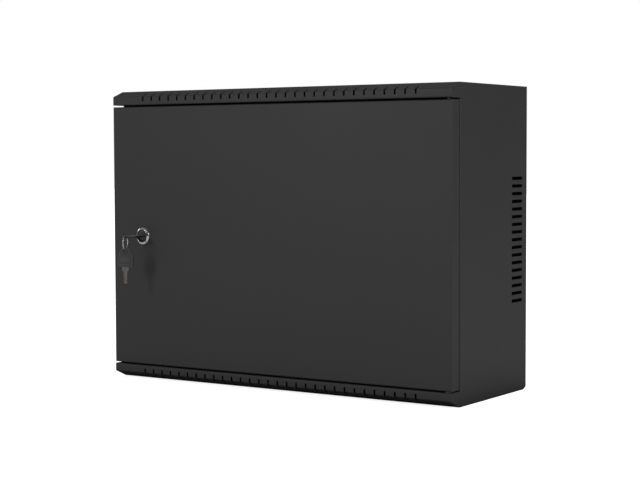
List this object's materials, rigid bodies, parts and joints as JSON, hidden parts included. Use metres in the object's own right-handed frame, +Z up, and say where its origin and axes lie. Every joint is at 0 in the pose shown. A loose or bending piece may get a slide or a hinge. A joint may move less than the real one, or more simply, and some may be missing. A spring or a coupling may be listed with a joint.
{
  "type": "network server rack cabinet",
  "caption": "Low wall-mounted rack cabinet of folded black sheet steel with a full-width lockable door on pin hinges, vented sloping bands and sides, and depth-adjustable rack rails.",
  "frame": {"origin": "bottom centre of the rear (wall) face", "axes": "+X to the right seen from the front, +Y into the wall, +Z up"},
  "size_m": [0.54, 0.2539, 0.402],
  "materials": {
    "powder_coat": "matte fine-textured powder coat",
    "zinc_steel": "zinc plated",
    "black_zinc": "black passivated zinc plate",
    "copper_flash": "copper flashed weld stud",
    "rubber": "soft matte",
    "black_nylon": "moulded nylon",
    "lock_chrome": "polished chrome plate",
    "lock_zinc_alloy": "dull die-cast zinc",
    "nickel_silver": "worn nickel-plated brass",
    "key_plastic": "moulded black plastic",
    "ring_steel": "nickel-plated wire",
    "cable_sleeve": "green and yellow wire insulation"
  },
  "bodies": {
    "cabinet": {"side_panel_right": "powder_coat", "side_panel_left": "powder_coat", "top_panel": "powder_coat", "base_panel": "powder_coat", "back_panel": "powder_coat", "door_bumpers": "rubber", "hinge_pin_base": "black_zinc", "hinge_washer_base": "black_nylon", "depth_bars": "zinc_steel", "weld_studs": "copper_flash", "bar_nuts": "zinc_steel", "entry_cover_top": "powder_coat", "entry_cover_base": "powder_coat", "entry_screws": "zinc_steel", "earth_stud_body": "copper_flash", "earth_nut_body": "zinc_steel", "earth_cable": "cable_sleeve"},
    "door": {"door_panel": "powder_coat", "door_stiffener": "powder_coat", "hinge_bracket_top": "zinc_steel", "hinge_spring": "zinc_steel", "lock_body": "lock_chrome", "lock_nut": "zinc_steel", "earth_stud_door": "copper_flash", "earth_nut_door": "zinc_steel"},
    "hinge_pin": {"hinge_pin_top": "black_zinc"},
    "lock_core": {"lock_plug": "lock_zinc_alloy", "lock_cam": "zinc_steel", "lock_cam_screw": "zinc_steel"},
    "key": {"key_blade": "nickel_silver", "key_head": "key_plastic"},
    "key_ring": {"split_ring": "ring_steel"},
    "spare_key": {"spare_key_blade": "nickel_silver", "spare_key_head": "key_plastic"},
    "rail_right": {"rack_rail_right": "zinc_steel", "rail_bolts_right": "zinc_steel", "rail_nuts_right": "zinc_steel", "cage_nut_clips_right": "zinc_steel", "cage_nut_squares_right": "zinc_steel"},
    "rail_left": {"rack_rail_left": "zinc_steel", "rail_bolts_left": "zinc_steel", "rail_nuts_left": "zinc_steel", "cage_nut_clips_left": "zinc_steel", "cage_nut_squares_left": "zinc_steel"}
  },
  "joints": [
    {"name": "door_swing", "type": "hinge", "parent": "cabinet", "child": "door", "pos_m": [0.2625, -0.1995, 0.201], "axis": [0, 0, 1], "range_deg": [0, 180], "deforming": ["earth_cable"]},
    {"name": "hinge_pin_pull", "type": "slide", "parent": "door", "child": "hinge_pin", "axis": [0, 0, -1], "range_m": [0, 0.008], "stiffness_N_per_m": 600, "springref_m": -0.005, "deforming": ["hinge_spring"]},
    {"name": "lock_turn", "type": "hinge", "parent": "door", "child": "lock_core", "pos_m": [-0.218, -0.206, 0.201], "axis": [0, 1, 0], "range_deg": [0, 90]},
    {"name": "key_pull", "type": "slide", "parent": "lock_core", "child": "key", "axis": [0, -1, 0], "range_m": [0, 0.03]},
    {"name": "ring_hang", "type": "hinge", "parent": "key", "child": "key_ring", "pos_m": [-0.21797, -0.24022, 0.20131], "axis": [-0.5121, -0.6896, 0.5121], "range_deg": [0, 110.82]},
    {"name": "spare_swing", "type": "hinge", "parent": "key_ring", "child": "spare_key", "pos_m": [-0.21735, -0.24392, 0.1833], "axis": [0.3827, -0.9239, 0], "range_deg": [-20, 20]},
    {"name": "rail_right_slide", "type": "slide", "parent": "cabinet", "child": "rail_right", "axis": [0, 1, 0], "range_m": [0, 0.08]},
    {"name": "rail_left_slide", "type": "slide", "parent": "cabinet", "child": "rail_left", "axis": [0, 1, 0], "range_m": [0, 0.08]}
  ],
  "couplings": [
    {"joint": "ring_hang", "follows": "lock_turn", "ratio": 1.2313},
    {"joint": "rail_left_slide", "follows": "rail_right_slide", "ratio": 1}
  ]
}
